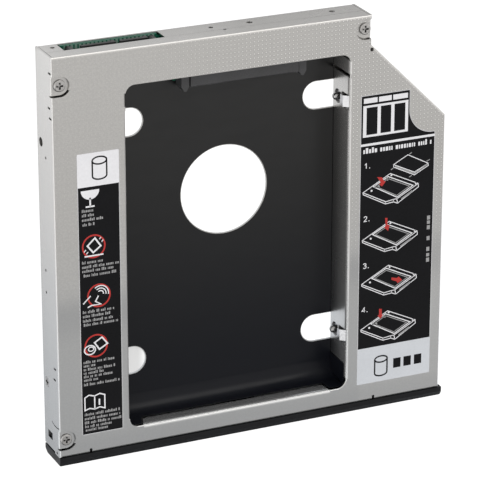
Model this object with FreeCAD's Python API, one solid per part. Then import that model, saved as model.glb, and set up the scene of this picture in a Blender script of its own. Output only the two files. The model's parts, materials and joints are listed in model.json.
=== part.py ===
import FreeCAD, Part
import math
import os

from FreeCAD import Vector

# Laptop drive caddy: a folded sheet case, 12.7 mm high with its labels, that takes the place
# of a slim optical drive and holds a 2.5 inch drive in its open bay.
# Drawn from its front left lower corner: X to the right, Y to the rear, Z up to the labelled
# face. Each finished piece is moved so that the origin is under the middle of the whole.
# A length named "back" is measured forward from the rear wall.

# Case outline
case_w = 128.0
case_d = 126.1
face_z = 12.6
shoulder_front_back = 34.9
shoulder_rear_back = 9.4
rear_block_room = 6.9
sheet = 0.6
bend_r = 0.7
wall_gap = 0.1
cover_foot_z = 0.2
rear_lap_z = 7.3
front_lap_z = 8.4
corner_slit = 0.12
shoulder_relief_r = 0.6
shoulder_relief_ahead = 1.4
notch_w = 0.8
notch_deep = 1.5
notch_left_in = 10.0
notch_right_in = 23.1
past = 1.0

# Drive and drive bay
bay_left = 22.8
bay_w = 72.8
window_front_y = 5.7
window_back = 11.35
window_corner_r = 3.0
bay_wall_front_y = 8.7
bay_wall_back = 19.1
bay_cheek_gap = 1.2
bay_cheek_len = 4.2
wall_foot_gap = 0.05
lip_left_in = 4.6
lip_left_slant = 1.7
lip_right_in = 5.6
lip_right_slant = 0.4
lip_depth = 5.3
film_t = 0.2
drive_hole_z = 3.0
rear_pin_back = 27.1
front_pin_y = 22.4

# Floor openings
finger_hole_ahead = 25.7
finger_hole_d = 28.2
slot_w = 8.8
slot_len = 10.2
slot_past_wall = 0.3
film_margin = 0.25

# Film
film_side_gap = 0.1
film_front_y = 6.0
film_rear_back = 13.9
film_cove_r = 5.0
film_riser_z = 7.0
film_ear_z = 11.2
film_ear_gap = 0.3
film_flap_ahead = 0.6
film_flap_len = 6.7
film_flap_z = 10.6
film_flap_foot = 1.0
film_flap_cut_y = 0.5
film_flap_cut_z = 0.7

# Latches
leaf_t = 0.3
leaf_gap = 0.05
leaf_root = 14.0
leaf_tip = 4.4
leaf_z0 = 1.6
leaf_z1 = 11.2
leaf_neck_z0 = 3.0
leaf_neck_z1 = 9.4
leaf_neck_y = 5.0
leaf_neck_slant = 1.5
tab_w = 3.6
tab_z0 = 7.3
tab_z1 = 10.9
tab_reach = 0.9
tab_root_h = 0.7
tab_tip_h = 1.7
tab_slot = 0.3
tab_gap = 0.6
pin_r = 1.2
pin_reach = 1.8
pin_head_r = 1.8
pin_head_t = 0.5
pin_port_r = 2.25

# Cover screws: the recesses open to the nearest side wall
recess_r = 3.3
recess_depth = 0.8
recess_wall = 0.4
recess_cut = 4.4
recess_slit_y = 1.5
recess_slit_low = 0.2
rear_left_screw_in = 2.7
rear_left_screw_back = 8.8
front_left_screw_in = 2.3
front_left_screw_y = 5.7
rear_right_screw_in = 2.2
rear_right_screw_back = 4.2
screw_r = 1.0
screw_clear = 0.15
screw_head_r = 1.8
screw_head_t = 0.7
screw_edge = 0.3
screw_tip = 0.25
screw_len = 3.2
screw_slot_w = 0.55
screw_slot_len = 2.1
screw_slot_depth = 0.5
ear_reach = 2.6
ear_half = 2.8
ear_corner_r = 1.2
ear_gap = 0.15
collar_wall = 0.5
collar_len = 1.2

# Left wall details: Y and Z of each vent and of each short lance
side_hole_z = 3.0
plug_hole_r = 1.4
plug_hole_back = 28.3
side_screw_y = 21.4
side_screw_head_r = 1.5
side_screw_tail = 0.6
clip_hole_y = 4.7
clip_hole_w = 2.3
clip_hole_z0 = 3.0
clip_hole_z1 = 6.6
vent_r = 0.45
vents_at = ((94.0, 6.7), (58.0, 4.4), (51.0, 4.4))
lance_w = 0.6
lance_h = 1.8
front_lances_at = ((28.3, 10.0), (24.7, 9.6))
rear_lances_at = ((5.0, 11.3), (15.7, 10.4), (18.7, 11.2))
curved_slit_y = 9.1
curved_slit_z = 6.3
curved_slit_w = 0.3
curved_slit_r = 9.0
curved_slit_run = 2.4
curved_slit_drop = 3.4
curved_slit_top = 0.4
corner_vent_y = 0.9
corner_vent_z = 10.2

# Rear wall details
plug_slot_x0 = 6.2
plug_slot_w = 31.4
plug_slot_z = 1.3
bracket_hole_r = 0.9
bracket_hole_z = 4.3
bracket_hole_in = 23.0
bracket_pitch = 27.1
pilot_hole_r = 0.7
pilot_holes_at = ((4.0, 3.6), (53.5, 4.3))
dimple_r = 0.5
dimple_x = 56.5
dimple_z = 7.6
rear_tab_in = (50.5, 16.5)
rear_tab_w = 8.0
rear_tab_z = 10.6
rear_tab_gap = 0.1

# Adapter board
board_t = 1.0
board_z = 1.4
board_x0 = 3.2
board_step = 1.4
board_right_past = 7.4
board_left_back = 12.7
board_front_back = 15.5
board_right_back = 13.9
board_rear_back = 0.9
board_tail_back = 0.2
board_tail_gap = 0.6
board_bevel = 3.0
board_corner_r = 0.7
boss_r = 2.2
left_board_screw_off = 2.4
left_board_screw_back = 6.5
right_board_screw_off = 4.0
right_board_screw_back = 11.5
board_screw_short = 0.2
capacitor = (2.0, 1.25, 1.0)
resistor = (1.6, 0.8, 0.5)
chip_corner_r = 0.12
chip_row_back = 5.7
chip_row_in = 5.0
chip_pitch = 9.0
chip_row_n = 4
lone_chip_off = 2.2
lone_chip_back = 10.5

# Drive socket, 22 ways
socket_ahead = 16.2
socket_back = 16.7
socket_deep = 6.0
socket_top_z = 7.2
socket_back_t = 2.2
socket_lug_w = 2.5
socket_lug_gap = 0.3
socket_lug_drop = 0.5
socket_lug_ahead = 1.2
socket_lug_lead_y = 1.4
socket_lug_lead_x = 0.9
socket_bevel = 0.4
socket_mouth_h = 2.4
socket_mouth_deep = 4.5
socket_plug_z = 3.5
socket_key_w = 0.9
socket_key_h = 0.8
signal_ways = 7
power_ways = 15
socket_pitch = 1.27
mouth_margin = 1.5
mouth_rim = 0.7
mouth_between = 2.2
contact_w = 0.6
contact_t = 0.15
contact_gap = 0.05
contact_inset = 0.8
tail_len = 1.5

# Laptop side plug, 7 and 6 ways
plug_base_x0 = 8.2
plug_base_w = 28.0
plug_base_back = 7.1
plug_base_t = 2.6
plug_base_top_z = 7.0
plug_post_w = 2.2
plug_post_drop = 1.0
plug_post_short = 0.4
plug_post_lead = 0.6
plug_bevel = 0.4
plug_tongue_back = 0.1
plug_tongue_z = 4.2
plug_tongue_t = 1.2
plug_key_w = 1.0
plug_key_h = 0.9
plug_pitch = 1.0
plug_signal_in = 4.1
plug_signal_w = 10.7
plug_power_in = 16.3
plug_power_w = 8.6
plug_power_ways = 6
plug_contact_inset = 0.5

# Front bezel
bezel_past = 1.0
bezel_t = 3.0
bezel_foot_t = 1.5
bezel_foot_z = 0.1
bezel_bevel = 1.5
bezel_bevel_drop = 0.8
bezel_belly_z = 2.4
bezel_end_r = 0.6
bezel_skin = 1.3
bezel_front_skin = 1.0
bezel_rim = 1.2
bezel_ribs = 5
bezel_rib_t = 0.8
arm_t = 1.2
arm_len = 6.6
arm_z0 = 2.7
arm_z1 = 6.6
barb = 0.9
barb_flat = 0.3
barb_gap = 0.15
arm_slack = 0.25
hook_w = 8.0
hook_len = 4.0
hook_lift = 0.6
hook_catch_h = 0.9
hook_catch_flat = 0.4

# Labels
label_t = 0.1
label_corner_r = 0.8
left_label_in = 7.3
left_label_w = 13.2
left_label_y = 6.3
left_label_back = 30.3
right_label_in = 3.5
right_label_w = 25.4
right_label_y = 5.9
right_label_neck_w = 16.6
right_label_back = 25.1
right_label_step_back = 39.6
right_label_cove_r = 8.0

# Sizes worked out from those above
big = 4 * case_w
bay_right = bay_left + bay_w
bay_mid_x = bay_left + bay_w / 2
bay_wall_out = bay_right + sheet
rear_block_w = bay_right + rear_block_room
right_wall_y = case_d - shoulder_front_back
shoulder_rear_y = case_d - shoulder_rear_back
window_rear_y = case_d - window_back
bay_wall_rear_y = case_d - bay_wall_back
bay_cheek_y = bay_wall_rear_y + bay_cheek_gap
tray_side = sheet + wall_gap
tray_in = tray_side + sheet
face_under = face_z - sheet
recess_z = face_z - recess_depth
tray_top_z = recess_z - sheet - ear_gap
drive_floor_z = sheet + film_t
pin_z = drive_floor_z + drive_hole_z
pin_rows = (case_d - rear_pin_back, front_pin_y)
finger_hole_y = case_d - rear_pin_back - finger_hole_ahead
rear_left_screw = (rear_left_screw_in, case_d - rear_left_screw_back)
front_left_screw = (front_left_screw_in, front_left_screw_y)
rear_right_screw = (rear_block_w - rear_right_screw_in, case_d - rear_right_screw_back)
plug_hole_y = case_d - plug_hole_back
board_top = board_z + board_t
board_rear_y = case_d - board_rear_back
signal_row_w = (signal_ways - 1) * socket_pitch + 2 * mouth_margin
power_row_w = (power_ways - 1) * socket_pitch + 2 * mouth_margin
socket_rows_w = signal_row_w + mouth_between + power_row_w
socket_end_w = socket_lug_w + socket_lug_gap + mouth_rim
socket_x0 = bay_mid_x - socket_ahead
socket_x1 = socket_x0 + socket_rows_w + 2 * socket_end_w
left_board_screw = (socket_x0 - left_board_screw_off, case_d - left_board_screw_back)
right_board_screw = (socket_x1 + right_board_screw_off, case_d - right_board_screw_back)
board_screws = (left_board_screw, right_board_screw)
socket_face_y = case_d - socket_back
plug_base_x1 = plug_base_x0 + plug_base_w
plug_base_y0 = case_d - plug_base_back
plug_base_y1 = plug_base_y0 + plug_base_t
plug_tongue_y = case_d - plug_tongue_back
bezel_w = case_w + bezel_past
hook_x = case_w / 2
origin = Vector(bezel_w / 2, (case_d - bezel_t) / 2, 0)


def box(x0, x1, y0, y1, z0, z1):
    return Part.makeBox(x1 - x0, y1 - y0, z1 - z0, Vector(x0, y0, z0))


def rod_z(radius, x, y, z0, z1):
    return Part.makeCylinder(radius, z1 - z0, Vector(x, y, z0))


def rod_x(radius, y, z, x0, x1):
    return Part.makeCylinder(radius, x1 - x0, Vector(x0, y, z), Vector(1, 0, 0))


def rod_y(radius, x, z, y0, y1):
    return Part.makeCylinder(radius, y1 - y0, Vector(x, y0, z), Vector(0, 1, 0))


def prism(corners, z0, z1):
    loop = [Vector(x, y, z0) for x, y in corners]
    return Part.Face(Part.makePolygon(loop + loop[:1])).extrude(Vector(0, 0, z1 - z0))


def section_x(corners, x0, x1):
    """A section drawn in Y and Z, run from x0 to x1."""
    loop = [Vector(x0, y, z) for y, z in corners]
    return Part.Face(Part.makePolygon(loop + loop[:1])).extrude(Vector(x1 - x0, 0, 0))


def section_y(corners, y0, y1):
    """A section drawn in X and Z, run from y0 to y1."""
    loop = [Vector(x, y0, z) for x, z in corners]
    return Part.Face(Part.makePolygon(loop + loop[:1])).extrude(Vector(0, y1 - y0, 0))


def edges_at(shape, z):
    """The straight and curved edges that lie in the level z."""
    level = []
    for edge in shape.Edges:
        if all(abs(vertex.Z - z) < 1e-6 for vertex in edge.Vertexes):
            level.append(edge)
    return level


def upright_edges(shape):
    upright = []
    for edge in shape.Edges:
        ends = edge.Vertexes
        if len(ends) == 2 and abs(ends[0].Z - ends[1].Z) > 1e-6:
            if math.hypot(ends[0].X - ends[1].X, ends[0].Y - ends[1].Y) < 1e-6:
                upright.append(edge)
    return upright


def rounded_plate(x0, x1, y0, y1, z0, z1, radius):
    plate = box(x0, x1, y0, y1, z0, z1)
    return plate.makeFillet(radius, upright_edges(plate))


def fused(shapes):
    whole = shapes[0]
    if len(shapes) > 1:
        whole = whole.fuse(shapes[1:])
    return whole.removeSplitter()


def carved(shape, cutters):
    for cutter in cutters:
        shape = shape.cut(cutter)
    return shape


def outline(side, front, rear):
    """Plan of the case, moved in by side, front and rear, with its slanted shoulder."""
    run_x, run_y = case_w - rear_block_w, shoulder_rear_y - right_wall_y
    right = case_w - side
    block = rear_block_w - side
    # Where the shoulder, moved in by side, meets the right wall and the wall of the rear block
    shift = side * math.hypot(run_x, run_y) / run_x
    slope = run_y / run_x
    return [
        (side, front),
        (right, front),
        (right, right_wall_y + side * slope - shift),
        (block, shoulder_rear_y + side * slope - shift),
        (block, case_d - rear),
        (side, case_d - rear),
    ]


def folded_pan(side, front, rear, flat_z, open_z):
    """A sheet pan: its flat at flat_z, its walls folded round to open_z."""
    up = 1 if open_z > flat_z else -1
    low, high = min(flat_z, open_z), max(flat_z, open_z)
    outer = prism(outline(side, front, rear), low, high)
    outer = outer.makeFillet(bend_r, edges_at(outer, flat_z))
    inner_z = flat_z + up * sheet
    beyond = open_z + up * sheet
    low, high = min(inner_z, beyond), max(inner_z, beyond)
    inner = prism(outline(side + sheet, front + sheet, rear + sheet), low, high)
    inner = inner.makeFillet(bend_r - sheet, edges_at(inner, inner_z))
    return outer.cut(inner)


def angle_strip(start, inward, run, wall_depth):
    """A flange folded down from the face: inward points from the free side into the sheet."""
    up = Vector(0, 0, 1)
    inner_r = bend_r - sheet
    half = math.sqrt(0.5)

    def at(u, v):
        return start + inward * u + up * v

    def arc(radius, u0, v0, u1, v1):
        middle = at(bend_r - radius * half, -bend_r + radius * half)
        return Part.Arc(at(u0, v0), middle, at(u1, v1)).toShape()

    edges = [
        Part.LineSegment(at(0, -wall_depth), at(0, -bend_r)).toShape(),
        arc(bend_r, 0, -bend_r, bend_r, 0),
        Part.LineSegment(at(bend_r, 0), at(bend_r, -sheet)).toShape(),
        arc(inner_r, sheet, -bend_r, bend_r, -sheet),
        Part.LineSegment(at(sheet, -bend_r), at(sheet, -wall_depth)).toShape(),
        Part.LineSegment(at(sheet, -wall_depth), at(0, -wall_depth)).toShape(),
    ]
    return Part.Face(Part.Wire(Part.__sortEdges__(edges))).extrude(run)


def mirrored(shape):
    """The same piece on the other side of the bay."""
    return shape.mirror(Vector(bay_mid_x, 0, 0), Vector(1, 0, 0))


def screw_spots():
    """Centre of each cover screw, and the way to the wall that its recess opens to."""
    return ((rear_left_screw, -1), (front_left_screw, -1), (rear_right_screw, 1))


def recess_plan(centre, way, radius, z0, z1):
    """Half-round pocket that runs out to the side wall."""
    x, y = centre
    reach = recess_r + past
    run = box(min(x, x + way * reach), max(x, x + way * reach), y - radius, y + radius, z0, z1)
    return rod_z(radius, x, y, z0, z1).fuse(run).removeSplitter()


def left_wall_cuts():
    """Holes through both layers of the left wall."""
    depth = tray_in + wall_gap
    plug_hole = rod_x(plug_hole_r, plug_hole_y, side_hole_z, -past, depth)
    y0 = clip_hole_y - clip_hole_w / 2
    clip_hole = box(-past, depth, y0, y0 + clip_hole_w, clip_hole_z0, clip_hole_z1)
    vents = [rod_x(vent_r, y, z, -past, depth) for y, z in vents_at]
    return [plug_hole, clip_hole] + vents


def right_clip_cut():
    x0, y0 = case_w - tray_in - wall_gap, clip_hole_y - clip_hole_w / 2
    return box(x0, case_w + past, y0, y0 + clip_hole_w, clip_hole_z0, clip_hole_z1)


def countersink(gap):
    """The side screw's flat head, or with a gap the cone that it sits in."""
    centre = Vector(0, side_screw_y, side_hole_z)
    return Part.makeCone(side_screw_head_r + gap, screw_r + gap, sheet, centre, Vector(1, 0, 0))


def lance_marks():
    """Short lances near the top of the cover's left wall."""
    spots = list(front_lances_at) + [(case_d - back, z) for back, z in rear_lances_at]
    a, b = lance_w / 2, lance_h / 2
    return [box(-past, tray_side, y - a, y + a, z - b, z + b) for y, z in spots]


def front_recess_slit():
    """Curved relief slit beside the front recess, and the round relief in front of it."""
    y, z, radius = curved_slit_y, curved_slit_z, curved_slit_r
    outer = rod_x(radius, y + radius, z + curved_slit_drop, -past, tray_side)
    inner = rod_x(radius - curved_slit_w, y + radius, z + curved_slit_drop, -2 * past, sheet + past)
    room = box(-past, tray_side, y - past, y + curved_slit_run, z, face_z - curved_slit_top)
    slit = outer.cut(inner).common(room)
    return [slit, rod_x(vent_r, corner_vent_y, corner_vent_z, -past, tray_side)]


def bay_wall():
    """Right wall of the bay, folded down from the face, with its cheek beside the socket."""
    depth = face_z - sheet - wall_foot_gap
    main_len = bay_wall_rear_y - bay_wall_front_y
    east = Vector(1, 0, 0)
    start = Vector(bay_right, bay_wall_front_y, face_z)
    main = angle_strip(start, east, Vector(0, main_len, 0), depth)
    start = Vector(bay_right, bay_cheek_y, face_z)
    cheek = angle_strip(start, east, Vector(0, bay_cheek_len, 0), depth)
    ports = []
    half = tab_w / 2 + tab_gap
    low, high = tab_z0 - tab_gap, tab_z1 + tab_gap
    for y in pin_rows:
        ports.append(rod_x(pin_port_r, y, pin_z, bay_right - past, bay_wall_out + past))
        ports.append(box(bay_right - past, bay_wall_out + past, y - half, y + half, low, high))
    return main.cut(ports), cheek


def fold_gap(y0, y1):
    """The strip of the face that the bend of a bay wall takes up."""
    return box(bay_right - past, bay_right + bend_r, y0, y1, face_under - past, face_z + past)


def front_lip():
    """Flange folded down at the front of the window, its ends cut on a slant."""
    x0, x1 = bay_left + lip_left_in, bay_right - lip_right_in
    start = Vector(x0, window_front_y, face_z)
    lip = angle_strip(start, Vector(0, -1, 0), Vector(x1 - x0, 0, 0), lip_depth)
    y0, y1 = window_front_y - 2 * bend_r, window_front_y + past
    top, bottom = face_z - bend_r, face_z - lip_depth
    for x, lean in ((x0, lip_left_slant), (x1, -lip_right_slant)):
        corners = [(x, top), (x, bottom - past), (x + lean, bottom - past), (x + lean, bottom)]
        lip = lip.cut(section_y(corners, y0, y1))
    return lip


def corner_slits():
    """Open seams where the folded walls of the cover meet."""
    top = face_z - bend_r
    slits = []
    for x, inner in ((sheet, 1), (case_w - sheet, -1)):
        x0, x1 = sorted((x, x + inner * corner_slit))
        slits.append(box(x0, x1, -past, sheet, -past, top))
    for x, inner in ((sheet, 1), (rear_block_w - sheet, -1)):
        x0, x1 = sorted((x, x + inner * corner_slit))
        slits.append(box(x0, x1, case_d - sheet, case_d + past, -past, top))
    bevel = box(-corner_slit / 2, corner_slit / 2, -2 * sheet, 2 * sheet, -past, top)
    turn = math.degrees(math.atan2(case_w - rear_block_w, shoulder_rear_y - right_wall_y))
    bevel.rotate(Vector(0, 0, 0), Vector(0, 0, 1), turn / 2 - 90)
    bevel.translate(Vector(case_w, right_wall_y, 0))
    slits.append(bevel)
    return slits


def make_top_cover():
    cover = folded_pan(0, 0, 0, face_z, cover_foot_z)
    lowered = folded_pan(0, 0, 0, recess_z, cover_foot_z)

    # Rear and front flanges stop above the tray's walls
    side, front, rear = sheet, sheet, case_d - sheet
    rear_trim = box(side, rear_block_w - side, rear, case_d + past, -past, rear_lap_z + wall_gap)
    front_trim = box(-past, case_w + past, -past, front, -past, front_lap_z + wall_gap)
    cover = cover.cut([rear_trim, front_trim])

    # Recesses for the cover screws
    for centre, way in screw_spots():
        x, y = centre
        hollow = recess_plan(centre, way, recess_r, face_z - recess_cut, face_z + past)
        ring = recess_plan(centre, way, recess_r, recess_z - sheet, face_z)
        low = recess_z - sheet - past
        inner = recess_plan(centre, way, recess_r - recess_wall, low, face_z + past)
        ring = ring.cut(inner)
        ring = ring.common(folded_pan_block())
        pad = lowered.common(hollow)
        cover = cover.cut(hollow).fuse([pad, ring])
        # The wall of the recess is slit open on its front side, out to the side wall
        slit_z = recess_z - sheet - recess_slit_low
        gap = recess_plan(centre, way, recess_r, slit_z, face_z + past)
        core = recess_plan(centre, way, recess_r - recess_wall, 0, face_z + 2 * past)
        gap = gap.cut(core).common(box(x - big, x + big, y - big, y - recess_slit_y, 0, big))
        cover = carved(cover, [gap, rod_z(screw_r + screw_clear, x, y, 0, face_z + past)])

    # Window, with its bay walls and front lip folded down
    low, high = face_under - past, face_z + past
    window = rounded_plate(
        bay_left, bay_right, window_front_y, window_rear_y, low, high, window_corner_r
    )
    folds = [
        fold_gap(bay_wall_front_y, bay_wall_rear_y),
        fold_gap(bay_cheek_y, bay_cheek_y + bay_cheek_len),
    ]
    x0, x1 = bay_left + lip_left_in, bay_right - lip_right_in
    lip_room = box(x0, x1, window_front_y - bend_r, window_front_y + past, low, high)
    cover = carved(cover, [window, lip_room] + folds + [mirrored(fold) for fold in folds])
    wall, cheek = bay_wall()
    cover = cover.fuse([wall, cheek, mirrored(wall), mirrored(cheek), front_lip()])

    # Reliefs and small holes
    notches = []
    half = notch_w / 2
    for x in (notch_left_in, case_w - notch_right_in):
        notches.append(box(x - half, x + half, -past, notch_deep, -past, face_z + past))
    relief_y = shoulder_rear_y - shoulder_relief_ahead
    relief = rod_z(shoulder_relief_r, rear_block_w, relief_y, face_under - past, face_z + past)
    rear_dimple = rod_y(dimple_r, dimple_x, dimple_z, case_d - past, case_d + past)
    cuts = left_wall_cuts() + lance_marks() + front_recess_slit() + corner_slits() + notches
    cuts += [relief, rear_dimple, right_clip_cut(), countersink(wall_gap)]
    return carved(cover, cuts)


def folded_pan_block():
    """The whole block of the case, with the rounded edge of its face."""
    block = prism(outline(0, 0, 0), 0, face_z)
    return block.makeFillet(bend_r, edges_at(block, face_z))


def tray_ear(centre, way):
    """Tab folded in from the top of the side wall under a recess, with its tapped collar."""
    x, y = centre
    wall_x = tray_side if way < 0 else rear_block_w - tray_side
    end_x = x - way * ear_reach
    x0, x1 = sorted((wall_x, end_x))
    tab = box(x0, x1, y - ear_half, y + ear_half, tray_top_z - sheet, tray_top_z)
    far = [e for e in upright_edges(tab) if abs(e.Vertexes[0].X - end_x) < 1e-6]
    tab = tab.makeFillet(ear_corner_r, far)
    collar = rod_z(screw_r + collar_wall, x, y, tray_top_z - sheet - collar_len, tray_top_z - sheet)
    return tab.fuse(collar)


def make_bottom_tray():
    tray = folded_pan(tray_side, 0, 0, 0, tray_top_z)
    rear_trim = box(-past, case_w + past, case_d - tray_side, case_d + past, rear_lap_z, big)
    front_trim = box(-past, case_w + past, -past, tray_side, front_lap_z, big)
    tray = tray.cut([rear_trim, front_trim])

    added = [tray_ear(centre, way) for centre, way in screw_spots()]
    for x, y in board_screws:
        added.append(rod_z(boss_r, x, y, sheet, board_z))
    for tab_in in rear_tab_in:
        x = rear_block_w - tab_in
        y1 = case_d - sheet - rear_tab_gap
        x1, z0 = x + rear_tab_w, rear_lap_z - 2 * sheet
        added.append(box(x, x1, y1 - sheet, y1, z0, rear_tab_z))
        added.append(box(x, x1, y1 - sheet, case_d, z0, z0 + sheet))
    collar_x = tray_in + collar_len
    added.append(rod_x(screw_r + collar_wall, side_screw_y, side_hole_z, tray_in, collar_x))
    tray = fused([tray] + added)

    cuts = []
    low = tray_top_z - sheet - collar_len - past
    for (x, y), way in screw_spots():
        cuts.append(rod_z(screw_r, x, y, low, tray_top_z + past))
    for x, y in board_screws:
        cuts.append(rod_z(screw_r, x, y, -past, board_z + past))
    cuts.append(rod_x(screw_r, side_screw_y, side_hole_z, -past, collar_x + past))
    cuts.append(rod_z(finger_hole_d / 2, bay_mid_x, finger_hole_y, -past, sheet + past))
    cuts += floor_slots(0, -past, sheet + past)
    y0, y1 = case_d - sheet - past, case_d + past
    slot_x1 = plug_slot_x0 + plug_slot_w
    cuts.append(box(plug_slot_x0, slot_x1, y0, y1, plug_slot_z, rear_lap_z + past))
    for way in (-0.5, 0.5):
        x = rear_block_w - bracket_hole_in + way * bracket_pitch
        cuts.append(rod_y(bracket_hole_r, x, bracket_hole_z, y0, y1))
    for x, z in pilot_holes_at:
        cuts.append(rod_y(pilot_hole_r, x, z, y0, y1))
    cuts += left_wall_cuts()
    cuts.append(right_clip_cut())
    cuts += bezel_ports()
    return carved(tray, cuts)


def floor_slots(margin, z0, z1):
    """Four round-ended slots beside the bay walls, at the rows of the latch pins."""
    half = slot_w / 2 + margin
    slots = []
    for y in pin_rows:
        tip_x = bay_right - slot_len + slot_w / 2
        reach = bay_wall_out + slot_past_wall - 2 * margin
        slot = rod_z(half, tip_x, y, z0, z1).fuse(box(tip_x, reach, y - half, y + half, z0, z1))
        slot = slot.removeSplitter()
        slots += [slot, mirrored(slot)]
    return slots


def make_bay_film():
    """Floor film, coved up at the front with an ear beside each end of the lip."""
    x0, x1 = bay_left + film_side_gap, bay_right - film_side_gap
    z0, z1 = sheet, drive_floor_z
    turn_y = film_front_y + film_cove_r + film_t
    floor = box(x0, x1, turn_y, case_d - film_rear_back, z0, z1)

    # The cove is a quarter turn from the floor up to the riser behind the lip
    cove_z = z1 + film_cove_r
    centre = Vector(x0, turn_y, cove_z)
    ring = Part.makeCylinder(film_cove_r + film_t, x1 - x0, centre, Vector(1, 0, 0))
    ring = ring.cut(Part.makeCylinder(film_cove_r, x1 - x0, centre, Vector(1, 0, 0)))
    cove = ring.common(box(x0, x1, film_front_y, turn_y, z0, cove_z))
    riser = box(x0, x1, film_front_y, film_front_y + film_t, cove_z, film_riser_z)
    ears = []
    lip_x0, lip_x1 = bay_left + lip_left_in, bay_right - lip_right_in
    low, high = film_riser_z - film_t, film_ear_z
    for edge, lip_x, lean in ((x0, lip_x0, lip_left_slant), (x1, lip_x1, -lip_right_slant)):
        inner = lip_x - math.copysign(film_ear_gap, lean)
        corners = [(edge, low), (inner + lean, low), (inner, high), (edge, high)]
        ears.append(section_y(corners, film_front_y, film_front_y + film_t))

    # Behind the riser a flap is folded up each side wall
    flap_x = x1 - film_t
    y0 = film_front_y + film_flap_ahead
    y1 = y0 + film_flap_len
    foot = box(flap_x - film_flap_foot, x1, y0 + film_t, y1, z0, z1)
    flap = box(flap_x, x1, y0, y1, z0, film_flap_z)
    slant = [
        (y1, film_flap_z - film_flap_cut_z),
        (y1 + past, film_flap_z - film_flap_cut_z),
        (y1 + past, film_flap_z + past),
        (y1 - film_flap_cut_y, film_flap_z + past),
        (y1 - film_flap_cut_y, film_flap_z),
    ]
    flap = flap.cut(section_x(slant, flap_x - past, x1 + past))
    side = fused([foot, flap])
    film = fused([floor, cove, riser, side, mirrored(side)] + ears)

    holes = floor_slots(film_margin, 0, z1 + past)
    hole_r = finger_hole_d / 2 + film_margin
    holes.append(rod_z(hole_r, bay_mid_x, finger_hole_y, 0, z1 + past))
    return film.cut(holes).removeSplitter()


def make_latch_spring(row_y):
    """Leaf behind the right bay wall, with a lead-in tab that leans out into the bay."""
    x0 = bay_wall_out + leaf_gap
    x1 = x0 + leaf_t
    root_y, tip_y = row_y - leaf_root, row_y + leaf_tip
    neck_y = row_y - leaf_neck_y
    plan = [
        (root_y, leaf_neck_z0),
        (neck_y - leaf_neck_slant, leaf_neck_z0),
        (neck_y, leaf_z0),
        (tip_y, leaf_z0),
        (tip_y, leaf_z1),
        (neck_y, leaf_z1),
        (neck_y - leaf_neck_slant, leaf_neck_z1),
        (root_y, leaf_neck_z1),
    ]
    leaf = section_x(plan, x0, x1)
    half = tab_w / 2
    side = half + tab_slot
    port_z0, port_z1 = tab_z0 - tab_slot, tab_z1 - tab_slot
    port = box(x0 - past, x1 + past, row_y - side, row_y + side, port_z0, port_z1)
    leaf = leaf.cut([port, rod_x(pin_r, row_y, pin_z, x0 - past, x1 + past)])
    tip_x = bay_right - tab_reach
    root_z, tip_z = tab_z1 - tab_root_h, tab_z0 + tab_tip_h
    lean = [
        (x0, tab_z1),
        (x1, tab_z1),
        (x1, root_z),
        (tip_x + leaf_t, tip_z),
        (tip_x + leaf_t, tab_z0),
        (tip_x, tab_z0),
        (tip_x, tip_z),
        (x0, root_z),
    ]
    return fused([leaf, section_y(lean, row_y - half, row_y + half)])


def make_latch_pin(row_y):
    """Pin riveted in the leaf, with a round nose that snaps into the drive's side hole."""
    back = bay_wall_out + leaf_gap + leaf_t
    nose = bay_right - pin_reach
    z = pin_z

    def at(x, r):
        return Vector(x, row_y, z + r)

    # The rivet head is a quarter ellipse about the pin's axis, the nose a quarter circle
    ridge = back + pin_head_t
    half = math.sqrt(0.5)
    flat_r = pin_head_r - pin_head_t
    head_mid = at(back + pin_head_t * half, flat_r + pin_head_t * half)
    nose_mid = at(nose + pin_r * (1 - half), pin_r * half)
    edges = [
        Part.LineSegment(at(ridge, 0), at(ridge, flat_r)).toShape(),
        Part.Arc(at(ridge, flat_r), head_mid, at(back, pin_head_r)).toShape(),
        Part.LineSegment(at(back, pin_head_r), at(back, pin_r)).toShape(),
        Part.LineSegment(at(back, pin_r), at(nose + pin_r, pin_r)).toShape(),
        Part.Arc(at(nose + pin_r, pin_r), nose_mid, at(nose, 0)).toShape(),
        Part.LineSegment(at(nose, 0), at(ridge, 0)).toShape(),
    ]
    face = Part.Face(Part.Wire(Part.__sortEdges__(edges)))
    return face.revolve(Vector(0, row_y, z), Vector(1, 0, 0), 360)


def make_adapter_board():
    left_y, right_y = case_d - board_left_back, case_d - board_right_back
    front_y = case_d - board_front_back
    step_x0, step_x1 = socket_x0 - board_step, socket_x1 + board_step
    right_x = socket_x1 + board_right_past
    corners = [
        (board_x0, left_y),
        (step_x0, left_y),
        (step_x0, front_y),
        (step_x1, front_y),
        (step_x1, right_y),
        (right_x, right_y),
        (right_x, board_rear_y - board_bevel),
        (right_x - board_bevel, board_rear_y),
        (board_x0, board_rear_y),
    ]
    board = prism(corners, board_z, board_top)
    board = board.makeFillet(board_corner_r, upright_edges(board))
    tail_x0 = plug_slot_x0 + board_tail_gap
    tail_x1 = plug_slot_x0 + plug_slot_w - board_tail_gap
    tail_y = case_d - board_tail_back
    tail = box(tail_x0, tail_x1, board_rear_y - past, tail_y, board_z, board_top)
    holes = [rod_z(screw_r + screw_clear, x, y, 0, big) for x, y in board_screws]
    return fused([board, tail]).cut(holes)


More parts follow.
